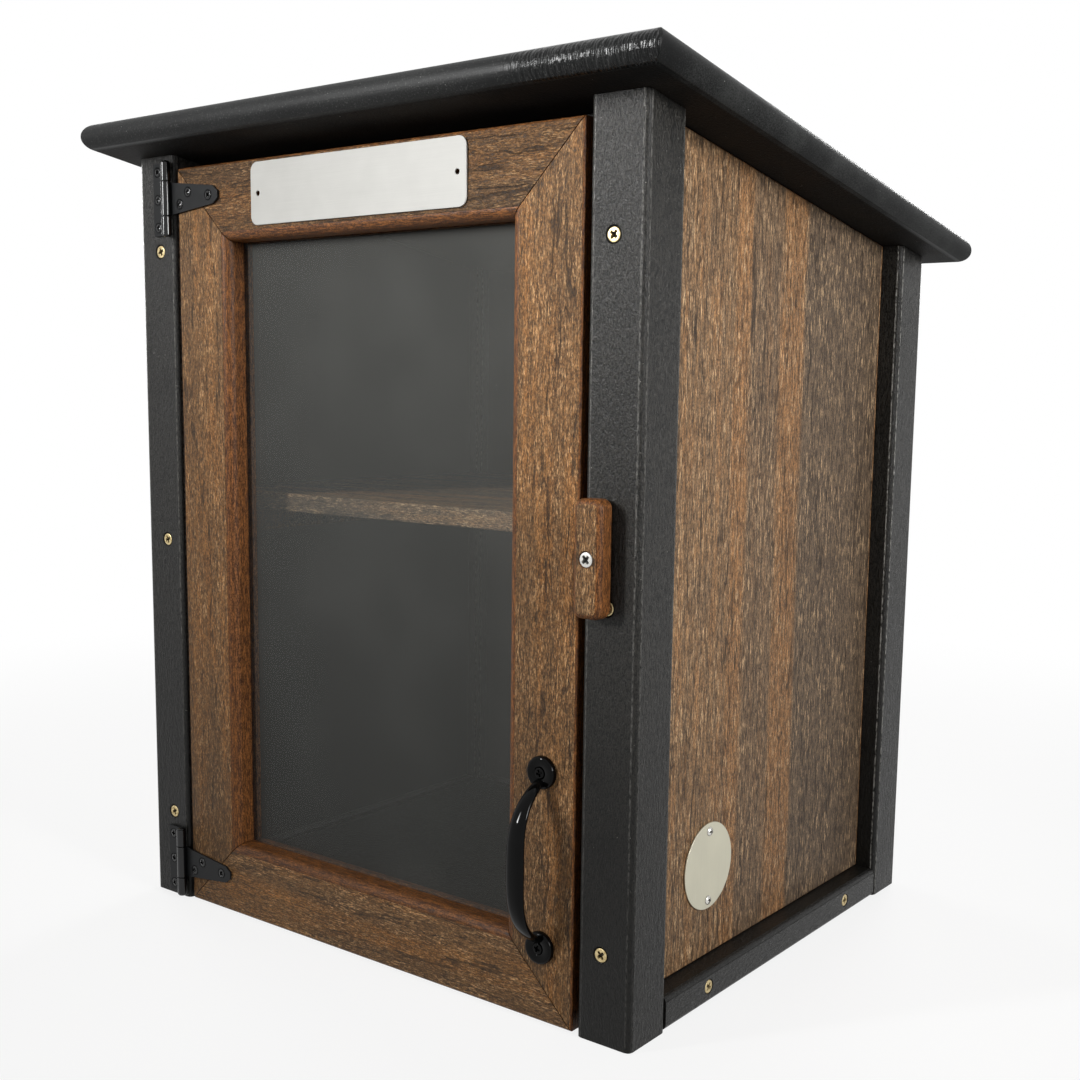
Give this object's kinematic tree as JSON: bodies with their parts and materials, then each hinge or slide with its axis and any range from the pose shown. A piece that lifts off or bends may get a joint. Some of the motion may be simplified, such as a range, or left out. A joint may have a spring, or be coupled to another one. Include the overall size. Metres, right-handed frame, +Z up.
{
  "type": "street book exchange box",
  "caption": "Small outdoor book exchange box with a sloping roof, a shelf, a glazed door on T hinges, a pull handle and a wooden turn button.",
  "frame": {"origin": "under the middle of the box's bounding box, on the plane that the box stands on", "axes": "+Z up, the door faces -Y, +X to the right as seen from the front"},
  "size_m": [0.484, 0.4214, 0.5578],
  "materials": {
    "black_board": "black recycled board, matt with a fine leathery skin",
    "black_roof": "black recycled board, satin",
    "brown_panel": "brown recycled board, streaked along its length, satin",
    "brown_board": "brown recycled board, streaked along its length, satin",
    "clear_pane": "clear sheet",
    "black_steel": "satin black coating",
    "gloss_black": "gloss black coating",
    "brass_screw": "yellow plated",
    "zinc_screw": "bright plated",
    "bare_plate": "plain satin metal"
  },
  "bodies": {
    "cabinet": {"back_panel": "black_board", "badge_plate": "bare_plate", "badge_screw_lower": "zinc_screw", "badge_screw_upper": "zinc_screw", "floor_panel": "black_board", "front_header": "black_board", "hinge_leaf_lower": "black_steel", "hinge_leaf_upper": "black_steel", "hinge_pin_lower": "black_steel", "hinge_pin_upper": "black_steel", "leaf_screw_lower_1": "black_steel", "leaf_screw_lower_2": "black_steel", "leaf_screw_lower_3": "black_steel", "leaf_screw_upper_1": "black_steel", "leaf_screw_upper_2": "black_steel", "leaf_screw_upper_3": "black_steel", "post_front_left": "black_board", "post_front_right": "black_board", "post_rear_left": "black_board", "post_rear_right": "black_board", "post_screw_left_1": "brass_screw", "post_screw_left_2": "brass_screw", "post_screw_left_3": "brass_screw", "post_screw_right_1": "brass_screw", "post_screw_right_2": "brass_screw", "post_screw_right_3": "brass_screw", "rail_screw_left_1": "brass_screw", "rail_screw_left_2": "brass_screw", "rail_screw_right_1": "brass_screw", "rail_screw_right_2": "brass_screw", "rear_rail": "black_board", "roof_board": "black_roof", "shelf": "brown_panel", "shelf_cleat_left": "brown_panel", "shelf_cleat_right": "brown_panel", "side_panel_left": "brown_panel", "side_panel_right": "brown_panel", "side_rail_left": "black_board", "side_rail_right": "black_board", "turn_button_screw": "zinc_screw"},
    "door": {"door_pane": "clear_pane", "door_rail_bottom": "brown_board", "door_rail_top": "brown_board", "door_stile_hinge": "brown_board", "door_stile_latch": "brown_board", "handle_screw_lower": "gloss_black", "handle_screw_upper": "gloss_black", "hinge_strap_lower": "black_steel", "hinge_strap_upper": "black_steel", "pull_handle": "gloss_black", "sign_plate": "bare_plate", "strap_screw_lower_1": "black_steel", "strap_screw_lower_2": "black_steel", "strap_screw_lower_3": "black_steel", "strap_screw_upper_1": "black_steel", "strap_screw_upper_2": "black_steel", "strap_screw_upper_3": "black_steel"},
    "button": {"turn_button": "brown_board"}
  },
  "joints": [
    {"name": "door_hinge", "type": "hinge", "parent": "cabinet", "child": "door", "pos_m": [-0.182, -0.18514, 0.26], "axis": [0, 0, -1], "range_deg": [0, 175]},
    {"name": "button_pivot", "type": "hinge", "parent": "cabinet", "child": "button", "pos_m": [0.1895, -0.18834, 0.2853], "axis": [0, 1, 0], "continuous": true}
  ]
}
